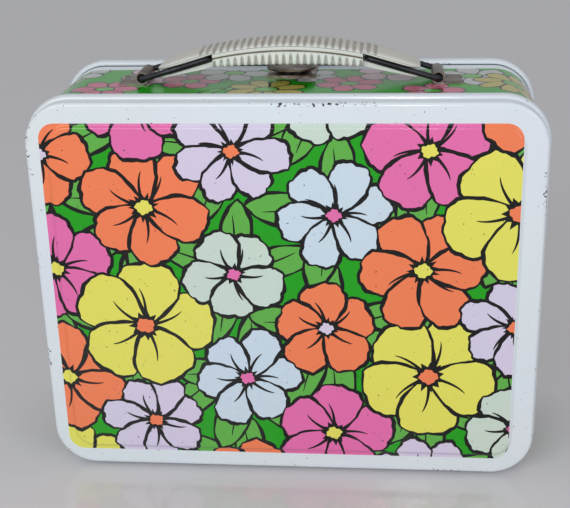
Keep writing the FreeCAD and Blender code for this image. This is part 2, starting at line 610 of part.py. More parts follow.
rest_angle = math.radians(size("wire_rest_angle"))
slot_rest_x = size("bracket_x") - wire_length * math.cos(rest_angle)
slot_rest_z = size("loop_radius") - size("band_step") + wire_length * math.sin(rest_angle)


def slot_z(x, offset=0.0):
    """Height of the wire slot's middle line above the panel top, or of a line beside it."""
    return slot_rest_z - math.tan(rest_angle) * (x - slot_rest_x) + offset


def profile_pad(body, name, edges, half_width):
    """A pad, symmetric about the middle plane, of a closed profile of lines and arcs in XZ.

    Each edge is a list of two points for a line or three for an arc; heights are above the panel top.
    """
    sketch = sketch_on(body, name + "_outline", "XZ_Plane",
                       ("0", "Sizes.bead_proud + Sizes.panel_height", "0"))
    for edge in edges:
        points = [Vector(x, z, 0) for x, z in edge]
        sketch.addGeometry(Part.Arc(*points) if len(points) == 3 else Part.LineSegment(*points), False)
    count = len(edges)
    for index, edge in enumerate(edges):
        join_ends(sketch, index, (index + 1) % count, Vector(*edge[-1], 0))
    return pad(body, name, sketch, f"2 * {half_width}", middle=True)


def chain(points):
    """Line edges through the points."""
    return [[first, last] for first, last in zip(points, points[1:])]


end_x, middle_x, tongue_x = size("grip_half_length"), size("middle_half_length"), size("tongue_half_length")
seam = size("grip_rise") - size("seam_drop")
slot_in, slot_out = slot_rest_x - size("slot_spare"), tongue_x - size("slot_end_wall")
roof, floor, clearance = size("slot_roof"), size("slot_floor"), size("shell_clearance")


def mirrored(points):
    """The points on the other side of the middle, in the opposite order."""
    return [(-x, z) for x, z in reversed(points)]


upper = sub_part("PartDesign::Body", "grip_upper")
crown_end = (end_x, arch(end_x, size("grip_rise")))
right = [crown_end, (end_x, slot_z(end_x, roof)), (slot_in, slot_z(slot_in, roof)),
         (middle_x, arch(middle_x, seam))]
left = mirrored(right)
profile_pad(upper, "grip_upper_shell",
            [[left[-1], (0, size("grip_rise")), crown_end]] + chain(right)
            + [[right[-1], (0, seam), left[0]]] + chain(left),
            "Sizes.grip_half_width")

lower = sub_part("PartDesign::Body", "grip_lower")
side_wall = [(middle_x, arch(middle_x, seam)), (middle_x, size("lower_end_rise"))]
other_wall = mirrored(side_wall)
profile_pad(lower, "grip_lower_middle",
            chain(side_wall) + [[side_wall[-1], (0, size("lower_rise")), other_wall[0]]]
            + chain(other_wall) + [[other_wall[-1], (0, seam), side_wall[0]]],
            "(Sizes.grip_half_width - Sizes.lower_inset)")
root_x = middle_x - size("tongue_overlap")
tongue = [(root_x, arch(root_x, seam) - clearance), (root_x, size("lower_rise") - clearance),
          (middle_x, size("lower_end_rise")), (size("tongue_root"), size("tongue_root_rise")),
          (tongue_x, size("tongue_rise")), (tongue_x, slot_z(tongue_x, roof - clearance)),
          (slot_out, slot_z(slot_out, roof - clearance)), (slot_out, slot_z(slot_out, -floor)),
          (slot_in, slot_z(slot_in, -floor)), (slot_in, slot_z(slot_in, roof - clearance)),
          (middle_x, arch(middle_x, seam) - clearance)]
for name, corners in (("left", mirrored(tongue)), ("right", tongue)):
    profile_pad(lower, f"grip_tongue_{name}", chain(corners + corners[:1]), "Sizes.tongue_half_width")

# ---------------------------------------------------------------- check and write
doc.recompute()
for item in doc.Objects:
    if {"Invalid", "Error"} & set(item.State):
        raise RuntimeError(f"{item.Label} failed: {item.State}")
os.makedirs("parts", exist_ok=True)
for piece in parts:
    shape = piece.Shape
    if shape.isNull() or not shape.isValid():
        raise RuntimeError(f"{piece.Label} is not a valid shape")
    shape.exportStep(f"parts/{piece.Label}.step")
    print(f"{piece.Label:24s} solids {len(shape.Solids):2d} volume {shape.Volume:10.1f}")
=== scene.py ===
import math
import random

import bpy
import numpy as np
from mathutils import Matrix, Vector
from mathutils.geometry import delaunay_2d_cdt


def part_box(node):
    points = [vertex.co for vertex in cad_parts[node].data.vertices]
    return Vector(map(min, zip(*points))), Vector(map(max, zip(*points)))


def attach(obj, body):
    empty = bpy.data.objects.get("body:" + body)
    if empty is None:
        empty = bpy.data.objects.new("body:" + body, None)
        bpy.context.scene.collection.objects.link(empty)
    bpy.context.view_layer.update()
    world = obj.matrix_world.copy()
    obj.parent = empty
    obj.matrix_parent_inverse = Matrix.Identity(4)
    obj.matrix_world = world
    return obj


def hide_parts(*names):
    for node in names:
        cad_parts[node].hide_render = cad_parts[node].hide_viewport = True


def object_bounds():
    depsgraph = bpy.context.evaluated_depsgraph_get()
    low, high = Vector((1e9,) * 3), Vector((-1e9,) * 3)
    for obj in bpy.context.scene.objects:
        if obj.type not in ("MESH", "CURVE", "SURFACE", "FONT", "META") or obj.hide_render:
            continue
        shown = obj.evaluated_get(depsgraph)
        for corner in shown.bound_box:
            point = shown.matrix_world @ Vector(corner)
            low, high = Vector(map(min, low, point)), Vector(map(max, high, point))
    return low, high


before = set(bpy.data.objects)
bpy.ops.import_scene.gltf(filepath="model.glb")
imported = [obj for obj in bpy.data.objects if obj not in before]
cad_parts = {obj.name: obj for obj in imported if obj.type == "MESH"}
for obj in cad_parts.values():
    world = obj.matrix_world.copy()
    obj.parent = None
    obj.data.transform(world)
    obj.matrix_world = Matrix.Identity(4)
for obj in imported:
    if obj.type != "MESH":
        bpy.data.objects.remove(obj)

cad_low, cad_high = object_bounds()

# ==== Studio =====================================================================================
# A pale glossy table top, one large soft lamp high on the left, a weaker one on the right and a
# small lamp beside the camera, which stands a little right of the middle and looks slightly down.
bpy.ops.object.select_all(action="DESELECT")
bpy.ops.object.camera_add(location=(0.04707, -0.51322, 0.29544))
camera = bpy.context.object
camera.rotation_euler = [math.radians(turn) for turn in (68.455, 1.406, 5.163)]
camera.data.sensor_width = 36
camera.data.lens = 73.57
bpy.context.scene.camera = camera

world = bpy.data.worlds.new("room")
bpy.context.scene.world = world
world.use_nodes = True
world.node_tree.nodes["Background"].inputs["Color"].default_value = (0.70, 0.71, 0.73, 1)
world.node_tree.nodes["Background"].inputs["Strength"].default_value = 0.66
bpy.context.scene.view_settings.view_transform = "Standard"


def softbox(name, at, aim, width, height, power):
    """A rectangular lamp that shines at a point."""
    bpy.ops.object.light_add(type="AREA", location=at)
    lamp = bpy.context.object
    lamp.name = name
    lamp.data.shape = "RECTANGLE"
    lamp.data.size, lamp.data.size_y = width, height
    lamp.data.energy = power
    lamp.rotation_euler = (Vector(aim) - Vector(at)).to_track_quat("-Z", "Y").to_euler()


box_middle = (cad_low + cad_high) / 2
softbox("key_lamp", (-0.45, -1.0, 0.62), box_middle, 0.7, 0.45, 4.6)
softbox("fill_lamp", (0.8, -0.9, 0.5), box_middle, 0.5, 0.5, 2.2)
softbox("top_lamp", (0.0, 0.25, 1.1), box_middle, 0.9, 0.5, 0.3)
softbox("camera_lamp", (0.06, -0.58, 0.36), box_middle, 0.05, 0.03, 0.5)

bpy.ops.mesh.primitive_plane_add(size=3.0, location=(0, 0, 0))
table = bpy.context.object
table.name = "table_top"
table_paint = bpy.data.materials.new("table_paint")
table_paint.use_nodes = True
shader = table_paint.node_tree.nodes["Principled BSDF"]
shader.inputs["Base Color"].default_value = (0.66, 0.65, 0.67, 1)
shader.inputs["Roughness"].default_value = 0.11
table.data.materials.append(table_paint)

# ==== Printed enamel =============================================================================
# The steel is coated white and printed in flat inks before it is pressed, then varnished. Where an
# edge rubs, the enamel chips down to dark steel, and the white picks up fine specks.


def tint(red, green, blue):
    """A paint colour from its display values, 0 to 255, as linear light."""
    parts = []
    for value in (red, green, blue):
        share = value / 255
        parts.append(share / 12.92 if share <= 0.04045 else ((share + 0.055) / 1.055) ** 2.4)
    return (*parts, 1.0)


def wear_group():
    """Node group: chips along rubbed edges and small specks, worked into a paint colour."""
    group = bpy.data.node_groups.new("enamel_wear", "ShaderNodeTree")
    face = group.interface
    for name, kind, value in (("Paint", "NodeSocketColor", (0.8, 0.8, 0.8, 1)),
                              ("Metal", "NodeSocketColor", (0.05, 0.045, 0.04, 1)),
                              ("Rub", "NodeSocketFloat", 0.0), ("Chip Scale", "NodeSocketFloat", 700.0),
                              ("Speck Level", "NodeSocketFloat", 0.74)):
        face.new_socket(name=name, in_out="INPUT", socket_type=kind).default_value = value
    for name, kind in (("Colour", "NodeSocketColor"), ("Roughness", "NodeSocketFloat"),
                       ("Height", "NodeSocketFloat")):
        face.new_socket(name=name, in_out="OUTPUT", socket_type=kind)
    nodes, link = group.nodes, group.links.new
    entry, leave = nodes.new("NodeGroupInput"), nodes.new("NodeGroupOutput")
    place = nodes.new("ShaderNodeTexCoord")

    def noise(scale, detail):
        node = nodes.new("ShaderNodeTexNoise")
        node.inputs["Scale"].default_value = scale
        node.inputs["Detail"].default_value = detail
        link(place.outputs["Object"], node.inputs["Vector"])
        return node

    def maths(operation, first, second):
        node = nodes.new("ShaderNodeMath")
        node.operation = operation
        node.use_clamp = operation in {"MULTIPLY_ADD", "MAXIMUM"}
        for socket, value in zip(node.inputs, (first, second)):
            if isinstance(value, (int, float)):
                socket.default_value = value
            else:
                link(value, socket)
        return node.outputs[0]

    def steps(value, low, high):
        node = nodes.new("ShaderNodeMapRange")
        node.interpolation_type = "SMOOTHSTEP"
        link(value, node.inputs["Value"])
        node.inputs["From Min"].default_value = low
        node.inputs["From Max"].default_value = high
        return node.outputs["Result"]

    chips = noise(700.0, 4.0)
    link(entry.outputs["Chip Scale"], chips.inputs["Scale"])
    patches = noise(38.0, 2.0)
    where = maths("MULTIPLY", steps(patches.outputs["Fac"], 0.48, 0.62), entry.outputs["Rub"])
    level = maths("ADD", chips.outputs["Fac"], maths("MULTIPLY", where, 0.125))
    chipped = steps(level, 0.70, 0.735)
    specks = noise(900.0, 1.0)
    scatter = noise(60.0, 1.0)
    speck = maths("MULTIPLY", steps(specks.outputs["Fac"], 0.865, 0.88),
                  steps(scatter.outputs["Fac"], 0.52, 0.66))
    bare = maths("MAXIMUM", chipped, speck)
    tone = noise(14.0, 3.0)
    shade = nodes.new("ShaderNodeMix")
    shade.data_type, shade.blend_type = "RGBA", "MULTIPLY"
    shade.inputs["Factor"].default_value = 0.10
    link(entry.outputs["Paint"], shade.inputs[6])
    link(tone.outputs["Color"], shade.inputs[7])
    worn = nodes.new("ShaderNodeMix")
    worn.data_type = "RGBA"
    link(bare, worn.inputs["Factor"])
    link(shade.outputs[2], worn.inputs[6])
    link(entry.outputs["Metal"], worn.inputs[7])
    link(worn.outputs[2], leave.inputs["Colour"])
    smear = noise(30.0, 3.0)
    gloss = maths("ADD", maths("MULTIPLY", smear.outputs["Fac"], 0.12), maths("MULTIPLY", bare, 0.35))
    link(maths("ADD", gloss, 0.12), leave.inputs["Roughness"])
    peel = noise(420.0, 2.0)
    link(maths("SUBTRACT", maths("MULTIPLY", peel.outputs["Fac"], 0.25), bare), leave.inputs["Height"])
    return group


enamel_wear = wear_group()


def enamel(name, chip_scale, colour_attribute=None, colour=None):
    """Varnished enamel whose colour is one paint, or the ink stored on the sheet."""
    paint = bpy.data.materials.new(name)
    paint.use_nodes = True
    nodes, link = paint.node_tree.nodes, paint.node_tree.links.new
    surface = nodes["Principled BSDF"]
    wear = nodes.new("ShaderNodeGroup")
    wear.node_tree = enamel_wear
    wear.inputs["Chip Scale"].default_value = chip_scale
    if colour_attribute:
        ink = nodes.new("ShaderNodeAttribute")
        ink.attribute_name = colour_attribute
        link(ink.outputs["Color"], wear.inputs["Paint"])
    else:
        wear.inputs["Paint"].default_value = colour
    rub = nodes.new("ShaderNodeAttribute")
    rub.attribute_name = "rub"
    link(rub.outputs["Fac"], wear.inputs["Rub"])
    link(wear.outputs["Colour"], surface.inputs["Base Color"])
    link(wear.outputs["Roughness"], surface.inputs["Roughness"])
    bump = nodes.new("ShaderNodeBump")
    bump.inputs["Strength"].default_value = 0.25
    bump.inputs["Distance"].default_value = 0.00012
    link(wear.outputs["Height"], bump.inputs["Height"])
    link(bump.outputs["Normal"], surface.inputs["Normal"])
    surface.inputs["Specular IOR Level"].default_value = 0.3
    surface.inputs["Coat Weight"].default_value = 0.12
    surface.inputs["Coat Roughness"].default_value = 0.06
    return paint


INKS = {
    "line": tint(12, 12, 12), "white": tint(222, 230, 236), "yellow": tint(230, 226, 98),
    "orange": tint(244, 130, 86), "green": tint(26, 160, 18), "pink": tint(230, 112, 174),
    "sky": tint(204, 220, 234), "mint": tint(204, 220, 208), "lilac": tint(216, 206, 230),
}
printed_enamel = enamel("printed_enamel", 700.0, colour_attribute="ink")

# ==== Flower drawing =============================================================================
# The big panels carry a plain flower print of no particular make: bold open blooms with loose black
# outlines on a leafy ground, in flat millimetres from the panel's middle. Later shapes cover earlier.


class Drawing:
    """Inked shapes in the order in which they are printed."""

    def __init__(self, line, seed):
        self.shapes, self.line, self.rng = [], line, random.Random(seed)

    def add(self, points, ink, line=None):
        """A shape with a hand-inked outline, a little thicker in some places than in others."""
        line = self.line if line is None else line
        swell = [self.rng.uniform(0, 2 * math.pi) for _ in range(2)]
        inner, outer, count = [], [], len(points)
        turning = sum(a[0] * b[1] - b[0] * a[1] for a, b in zip(points, points[1:] + points[:1]))
        way = 1 if turning > 0 else -1
        for index, (x, z) in enumerate(points):
            back, ahead = points[index - 1], points[(index + 1) % count]
            out = Vector((ahead[1] - back[1], back[0] - ahead[0])) * way
            out = out.normalized() if out.length > 1e-9 else out
            angle = 2 * math.pi * index / count
            wide = line * (0.5 + 0.16 * math.sin(3 * angle + swell[0])
                           + 0.1 * math.sin(8 * angle + swell[1]))
            outer.append((x + out.x * wide, z + out.y * wide))
            inner.append((x - out.x * wide, z - out.y * wide))
        if line:
            self.shapes.append((outer, "line"))
        if ink != "line":
            self.shapes.append((inner, ink))
        elif not line:
            self.shapes.append((points, ink))

    def petal(self, at, aim, length, width, ink, waist=0.3, ripple=0.4, tip=1.0, steps=48, line=None):
        """A petal or leaf that grows from a point; a tip under 1 draws it out to a point."""
        wave = [self.rng.uniform(0, 2 * math.pi) for _ in range(3)]
        turn, points = math.radians(aim), []
        for step in range(steps):
            angle = 2 * math.pi * step / steps
            along = (1 - math.cos(angle)) / 2
            side = math.copysign(abs(math.sin(angle)) ** (1 / tip), math.sin(angle))
            across = side * (waist + (1 - waist) * along ** 0.7)
            shake = ripple * along * (math.sin(5 * angle + wave[0]) + 0.7 * math.sin(11 * angle + wave[1])
                                      + 0.45 * math.sin(19 * angle + wave[2]))
            u, v = length * along + shake * math.cos(angle - math.pi), width / 2 * across * 1.08
            v += shake * math.copysign(1, v) * abs(math.sin(angle))
            points.append((at[0] + u * math.cos(turn) - v * math.sin(turn),
                           at[1] + u * math.sin(turn) + v * math.cos(turn)))
        self.add(points, ink, line)

    def blob(self, at, wide, tall, ink, tilt=0, ripple=0.35, steps=40, line=None):
        """A rounded patch with a slightly uneven edge."""
        wave = [self.rng.uniform(0, 2 * math.pi) for _ in range(2)]
        turn, points = math.radians(tilt), []
        for step in range(steps):
            angle = 2 * math.pi * step / steps
            shake = ripple * (math.sin(4 * angle + wave[0]) + 0.7 * math.sin(9 * angle + wave[1]))
            u, v = (wide + shake) * math.cos(angle), (tall + shake) * math.sin(angle)
            points.append((at[0] + u * math.cos(turn) - v * math.sin(turn),
                           at[1] + u * math.sin(turn) + v * math.cos(turn)))
        self.add(points, ink, line)

    def burst(self, at, radius, spikes, depth=0.35, ink="line"):
        """A ragged black heart of a flower."""
        points = []
        for step in range(2 * spikes):
            reach = radius * (1 + depth * self.rng.uniform(0.4, 1)) if step % 2 else radius * 0.8
            angle = math.pi * step / spikes + self.rng.uniform(-0.06, 0.06)
            points.append((at[0] + reach * math.cos(angle), at[1] + reach * math.sin(angle)))
        self.shapes.append((points, ink))

    def curl(self, at, aim, length, bend, width=1.3):
        """A tapering brush stroke that curves away from where it starts."""
        left, right, (x, z), angle = [], [], at, math.radians(aim)
        steps = 10
        for step in range(steps + 1):
            share = step / steps
            half = width / 2 * (1 - share) ** 0.6 + 0.12
            left.append((x - half * math.sin(angle), z + half * math.cos(angle)))
            right.append((x + half * math.sin(angle), z - half * math.cos(angle)))
            angle += math.radians(bend) / steps * (0.4 + 1.6 * share ** 2)
            x, z = x + length / steps * math.cos(angle), z + length / steps * math.sin(angle)
        self.shapes.append((right + left[::-1], "line"))

    def bloom(self, at, radius, petals, ink, heart, turn):
        """An open flower: overlapping petals, a vein in each, and a ragged eye with a coloured heart."""
        for petal in range(petals):
            aim = turn + 360 * petal / petals + self.rng.uniform(-5, 5)
            self.petal(at, aim, radius * self.rng.uniform(0.92, 1.08), radius * 5.4 / petals, ink,
                       ripple=0.5)
        for petal in range(petals):
            aim = turn + 360 * petal / petals
            self.curl(at, aim + 4, radius * 0.6, self.rng.choice((-40, 40)), width=1.6)
        self.burst(at, radius * 0.2, 2 * petals + 1)
        self.blob(at, radius * 0.13, radius * 0.11, heart, line=0)

    def leaf(self, at, aim, length):
        """A pointed leaf with a midrib."""
        self.petal(at, aim, length, length * 0.42, "leaf", waist=0.6, ripple=0.2, tip=0.7)
        self.curl(at, aim, length * 0.8, 12)


# The blooms stand in a plain half-drop repeat, which is the usual way to lay out such a cloth or
# tin print: every second column is set half a step lower. Size and colour take turns.
COLUMN_STEP, ROW_STEP, BLOOM_COLUMNS, BLOOM_ROWS = 41.0, 52.0, 6, 5
BLOOM_KINDS = (("yellow", "orange", 5, 31), ("sky", "pink", 6, 24), ("orange", "yellow", 6, 28),
               ("mint", "pink", 5, 22), ("pink", "yellow", 5, 26), ("lilac", "orange", 7, 24),
               ("orange", "lilac", 5, 23))
INKS["leaf"] = tint(96, 176, 72)
panel = Drawing(line=1.45, seed=7)
places = []
for column in range(BLOOM_COLUMNS):
    for row in range(BLOOM_ROWS):
        drop = ROW_STEP / 2 if column % 2 else 0
        x = (column - (BLOOM_COLUMNS - 1) / 2) * COLUMN_STEP + panel.rng.uniform(-3, 3)
        z = (row - (BLOOM_ROWS - 1) / 2) * ROW_STEP - drop + ROW_STEP / 4 + panel.rng.uniform(-3, 3)
        places.append((column, row, x, z))
for column, row, x, z in places:
    for aim in (20, 95, 160, 250):
        panel.leaf((x, z), aim + panel.rng.uniform(-15, 15), panel.rng.uniform(34, 42))
for column, row, x, z in places:
    ink, heart, petals, radius = BLOOM_KINDS[(3 * column + 2 * row) % len(BLOOM_KINDS)]
    panel.bloom((x, z), radius, petals, ink, heart, panel.rng.uniform(0, 72))

# ==== Pressed pans: back pan and lid =============================================================
# Each pan is one pressing of 0.6 mm steel: a raised printed panel, a folded skirt and a bead rolled
# round the rim. The sheet is printed flat, so the artwork follows the raised edge of the panel.
MM = 0.001
SHEET, SKIRT, BEAD, PROUD, FOLD = 0.6, 7.0, 6.0, 1.5, 1.5
EMBOSS_FOOT, EMBOSS_CROWN, EMBOSS_RISE = 9.0, 11.0, 1.0
HALF_W = cad_high.x / MM - PROUD
HALF_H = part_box("back_pan")[1].z / MM / 2 - PROUD
MIDDLE_Z = HALF_H + PROUD
FACE_Y = -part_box("back_pan")[0].y / MM - EMBOSS_RISE
CORNER, CORNER_STEPS = 19.0, 16


def outline(inset, arc_steps=CORNER_STEPS):
    """The box's rounded outline, `inset` inside the panel's edge, anticlockwise from the right."""
    points, radius = [], max(CORNER - inset, 0.5)
    for turn, (side_x, side_z) in enumerate(((1, 1), (-1, 1), (-1, -1), (1, -1))):
        centre_x = side_x * (HALF_W - inset - radius)
        centre_z = side_z * (HALF_H - inset - radius)
        for step in range(arc_steps + 1):
            angle = math.pi / 2 * (turn + step / arc_steps)
            points.append((centre_x + radius * math.cos(angle), centre_z + radius * math.sin(angle)))
    return points


def depth_inside(x, z):
    """Distance of a point of the panel from the box's outline."""
    over_x, over_z = abs(x) - (HALF_W - CORNER), abs(z) - (HALF_H - CORNER)
    outside = math.hypot(max(over_x, 0), max(over_z, 0)) + min(max(over_x, over_z), 0)
    return CORNER - outside


def emboss(x, z):
    """How far the pressing raises the sheet at a point."""
    share = (depth_inside(x, z) - EMBOSS_FOOT) / (EMBOSS_CROWN - EMBOSS_FOOT)
    share = min(max(share, 0), 1)
    return EMBOSS_RISE * share * share * (3 - 2 * share)


def within(ring, spots):
    """Which of the spots lie inside a closed ring (it may cross itself)."""
    x, z = spots[:, 0], spots[:, 1]
    winding = np.zeros(len(spots), dtype=int)
    for (x0, z0), (x1, z1) in zip(ring, ring[1:] + ring[:1]):
        left = (x1 - x0) * (z - z0) - (x - x0) * (z1 - z0)
        winding += ((z0 <= z) & (z1 > z) & (left > 0)).astype(int)
        winding -= ((z0 > z) & (z1 <= z) & (left < 0)).astype(int)
    return winding != 0


def print_sheet(drawing, border, area, ground, margin, creases=()):
    """Cuts a flat sheet along every inked edge: vertices, triangles and the ink of each triangle."""
    points, edges = [], []
    for ring in (border, area, *creases, *(ring for ring, _ink in drawing.shapes)):
        first = len(points)
        points.extend(Vector(point) for point in ring)
        count = len(ring)
        edges.extend((first + index, first + (index + 1) % count)
                     for index in range(count if count > 2 else 1))
    flat, _, triangles, *_ = delaunay_2d_cdt(points, edges, [], 0, 1e-4, False)
    spots = np.array([[sum(flat[corner][axis] for corner in face) / 3 for axis in (0, 1)]
                      for face in triangles])
    inks = np.full(len(triangles), -1)
    for index, (ring, _ink) in enumerate(drawing.shapes):
        low, high = np.min(ring, axis=0), np.max(ring, axis=0)
        near = np.flatnonzero(((spots >= low) & (spots <= high)).all(axis=1))
        inks[near[within(ring, spots[near])]] = index
    printed, kept = within(area, spots), within(border, spots)
    names = [(drawing.shapes[ink][1] if ink >= 0 else ground) if on_print else margin
             for ink, on_print in zip(inks, printed)]
    faces = [face for face, keep in zip(triangles, kept) if keep]
    used = sorted({corner for face in faces for corner in face})
    place = {corner: index for index, corner in enumerate(used)}
    return [flat[corner] for corner in used], [[place[corner] for corner in face] for face in faces], \
        [name for name, keep in zip(names, kept) if keep]


def printed_area():
    """Where the ink ends: the print sits a little left of the raised panel."""
    left, right, low, high, radius = -104.6, 100.2, -79.6, 78.8, 7.0
    points = []
    for turn, (x, z) in enumerate(((right, high), (left, high), (left, low), (right, low))):
        side_x, side_z = (1, -1, -1, 1)[turn], (1, 1, -1, -1)[turn]
        for step in range(9):
            angle = math.pi / 2 * (turn + step / 8)
            points.append((x - side_x * radius + radius * math.cos(angle),
                           z - side_z * radius + radius * math.sin(angle)))
    return points


emboss_loops = [outline(inset) for inset in (8.4, 9.0, 9.4, 9.8, 10.2, 10.6, 11.0, 11.6)]
panel_sheet = print_sheet(panel, outline(FOLD + 0.6), printed_area(), "green", "white", emboss_loops)


def pan_profile():
    """The section of the rim as (inset, depth) from the face inwards, with how much each point rubs."""
    steps = [(FOLD + 0.6, 0.0, 0.35), (FOLD, 0.02, 0.6)]
    for angle in (22.5, 45, 67.5, 90):
        turn = math.radians(angle)
        steps.append((FOLD * (1 - math.sin(turn)), FOLD * (1 - math.cos(turn)), 1.0 if angle < 80 else 0.4))
    steps += [(0, SKIRT - 0.5, 0.1), (-0.1, SKIRT - 0.1, 0.1)]
    for angle in range(0, 181, 20):
        turn = math.radians(angle)
        rise = PROUD * math.sin(turn) ** 0.7
        along = SKIRT + BEAD * (1 - math.cos(turn)) / 2
        steps.append((-rise - 0.05 if 0 < angle < 180 else -0.1, along, 0.25))
    end = SKIRT + BEAD
    steps += [(0.3, end - 0.05, 0), (SHEET, end - 0.3, 0), (SHEET, FOLD, 0)]
    for angle in (60, 30):
        turn = math.radians(angle)
        steps.append((SHEET + (FOLD - SHEET) * (1 - math.sin(turn)),
                      SHEET + (FOLD - SHEET) * (1 - math.cos(turn)), 0))
    return steps + [(FOLD, SHEET, 0), (EMBOSS_FOOT + 0.2, SHEET, 0),
                    (EMBOSS_CROWN + 0.3, SHEET - EMBOSS_RISE, 0)]


def finish_mesh(name, vertices, faces, inks, rubs, material):
    """A mesh object with its ink on the faces and its wear on the vertices, smooth but for sharp edges."""
    mesh = bpy.data.meshes.new(name)
    mesh.from_pydata(vertices, [], faces)
    piece = bpy.data.objects.new(name, mesh)
    bpy.context.collection.objects.link(piece)
    mesh.materials.append(material)
    ink_layer = mesh.color_attributes.new("ink", "FLOAT_COLOR", "CORNER")
    for polygon, ink in zip(mesh.polygons, inks):
        for corner in polygon.loop_indices:
            ink_layer.data[corner].color = INKS[ink]
    rub_layer = mesh.attributes.new("rub", "FLOAT", "POINT")
    rub_layer.data.foreach_set("value", rubs)
    bpy.ops.object.select_all(action="DESELECT")
    piece.select_set(True)
    bpy.context.view_layer.objects.active = piece
    bpy.ops.object.mode_set(mode="EDIT")
    bpy.ops.mesh.select_all(action="SELECT")
    bpy.ops.mesh.remove_doubles(threshold=0.000004)
    bpy.ops.mesh.normals_make_consistent(inside=False)
    bpy.ops.object.mode_set(mode="OBJECT")
    bpy.ops.object.shade_smooth_by_angle(angle=math.radians(32))
    return piece


def press_pan(name, side):
    """One pan with its printed face towards -Y or +Y."""
    flat, triangles, inks = panel_sheet
    mirror = -side

    def stand(x, z, depth):
        return (mirror * x * MM, side * (FACE_Y - depth) * MM, (z + MIDDLE_Z) * MM)

    vertices = [stand(x, z, -emboss(x, z)) for x, z in flat]
    rubs = [0.1 if depth_inside(x, z) < 4 else 0.0 for x, z in flat]
    faces = [list(face) for face in triangles]
    inks = list(inks)
    profile = pan_profile()
    ring_size = len(outline(0))
    for step, (inset, depth, rub) in enumerate(profile):
        first = len(vertices)
        for x, z in outline(inset):
            vertices.append(stand(x, z, depth))
            rubs.append(rub)
        if step:
            for index in range(ring_size):
                after = (index + 1) % ring_size
                faces.append([first - ring_size + index, first - ring_size + after,
                              first + after, first + index])
                inks.append("white")
    last = len(vertices) - ring_size
    faces.append(list(range(last, last + ring_size)))
    inks.append("white")
    return finish_mesh(name, vertices, faces, inks, rubs, printed_enamel)


back = press_pan("back_pan_printed", -1)
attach(back, "box")
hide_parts("back_pan")
lid = press_pan("lid_pan_printed", 1)
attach(lid, "lid")
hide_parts("lid_pan")

# ==== Printed band ===============================================================================
# The band between the pans is a strip of the same printed steel, bent round the box's outline and
# welded at the bottom. Its far edge is a plain margin with a folded rim and a lip that the lid covers.
BAND_INSET, BAND_NEAR, BAND_FAR = 0.7, -36.0, 30.2
PRINT_NEAR, PRINT_FAR = -33.0, 22.5
LIP_INSET, LIP_FAR, LIP_LOWEST, RIM_NEAR = 1.8, 33.2, 22.0, 28.0
HINGE_X, NOTCH_HALF = 62.0, 8.3
FLAT_W, FLAT_H = HALF_W - CORNER, HALF_H - CORNER
BEND_LENGTH = math.pi / 2 * (CORNER - BAND_INSET)
HALF_ROUND = 2 * FLAT_W + 2 * FLAT_H + 2 * BEND_LENGTH


def place_on_band(along, inset):
    """A point of the outline at a run along the band, from the middle of the top to the right."""
    side, run = math.copysign(1, along), abs(along)
    if run <= FLAT_W:
        foot, turn = (run, FLAT_H), 0.0
    elif run <= FLAT_W + BEND_LENGTH:
        foot, turn = (FLAT_W, FLAT_H), (run - FLAT_W) / BEND_LENGTH * math.pi / 2
    elif run <= FLAT_W + BEND_LENGTH + 2 * FLAT_H:
        foot, turn = (FLAT_W, FLAT_H - (run - FLAT_W - BEND_LENGTH)), math.pi / 2
    elif run <= FLAT_W + 2 * BEND_LENGTH + 2 * FLAT_H:
        turned = (run - FLAT_W - BEND_LENGTH - 2 * FLAT_H) / BEND_LENGTH
        foot, turn = (FLAT_W, -FLAT_H), math.pi / 2 * (1 + turned)
    else:
        foot, turn = (HALF_ROUND - run, -FLAT_H), math.pi
    reach = CORNER - inset
    return side * (foot[0] + reach * math.sin(turn)), foot[1] + reach * math.cos(turn)


band_print = Drawing(line=0.9, seed=21)
band_leaves = random.Random(4)
for step in range(66):
    spot = (-HALF_ROUND + (step + 0.5) * HALF_ROUND / 33, band_leaves.uniform(PRINT_NEAR, PRINT_FAR))
    band_print.petal(spot, band_leaves.uniform(0, 360), band_leaves.uniform(12, 20),
                     band_leaves.uniform(4, 7), band_leaves.choice(("green", "green", "mint", "leaf")),
                     tip=0.75, waist=0.5)


def band_flower(along, across, radius, ink, petals, turn):
    """An open flower with a green eye."""
    for petal in range(petals):
        band_print.petal((along, across), turn + 360 * petal / petals, radius, radius * 4.6 / petals,
                         ink, waist=0.25, ripple=0.15, steps=26)
    band_print.blob((along, across), radius * 0.3, radius * 0.24, "leaf", ripple=0.1, steps=18)


BAND_KINDS = (("rouge", 5, 14), ("stone", 6, 17), ("olive", 8, 18), ("stone", 5, 13), ("rouge", 6, 15),
              ("blush", 5, 16))
BAND_BLOOMS = 42
for step in range(BAND_BLOOMS):
    along = -HALF_ROUND + (step + 0.5) * 2 * HALF_ROUND / BAND_BLOOMS
    across = (-18, 9, -4, 14)[step % 4] + band_leaves.uniform(-3, 3)
    ink, petals, radius = BAND_KINDS[step % len(BAND_KINDS)]
    band_flower(along, across, radius, ink, petals, band_leaves.uniform(0, 90))

